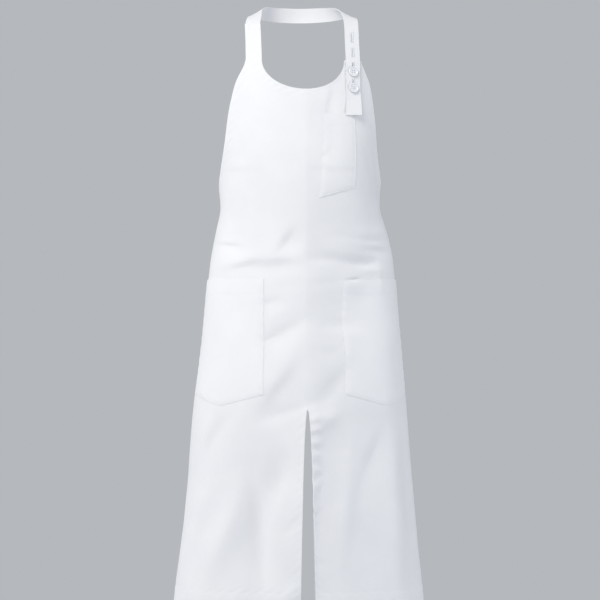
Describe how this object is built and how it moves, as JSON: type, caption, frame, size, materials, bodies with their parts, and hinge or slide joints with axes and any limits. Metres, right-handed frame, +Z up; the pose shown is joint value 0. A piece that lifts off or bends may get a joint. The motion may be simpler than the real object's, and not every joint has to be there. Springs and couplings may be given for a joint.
{
  "type": "bib apron",
  "caption": "White cloth bib apron in its worn shape, with a split skirt, patch pockets, a buttoned neck strap and waist ties knotted behind.",
  "frame": {"origin": "middle of the neck strap's inner face at the nape, where the strap rests on the back of the neck", "axes": "+Z up, -Y towards the front of the apron, +X to the viewer's right seen from the front"},
  "size_m": [0.4511, 0.2722, 1.0794],
  "materials": {
    "cloth": "matt white twill",
    "button": "satin white"
  },
  "bodies": {
    "root": {"body_panel": "cloth", "neck_strap": "cloth", "chest_pocket": "cloth", "hip_pocket_left": "cloth", "hip_pocket_right": "cloth", "waist_tie_left": "cloth", "waist_tie_right": "cloth", "waist_knot": "cloth", "button_upper": "button", "button_lower": "button"}
  },
  "joints": []
}
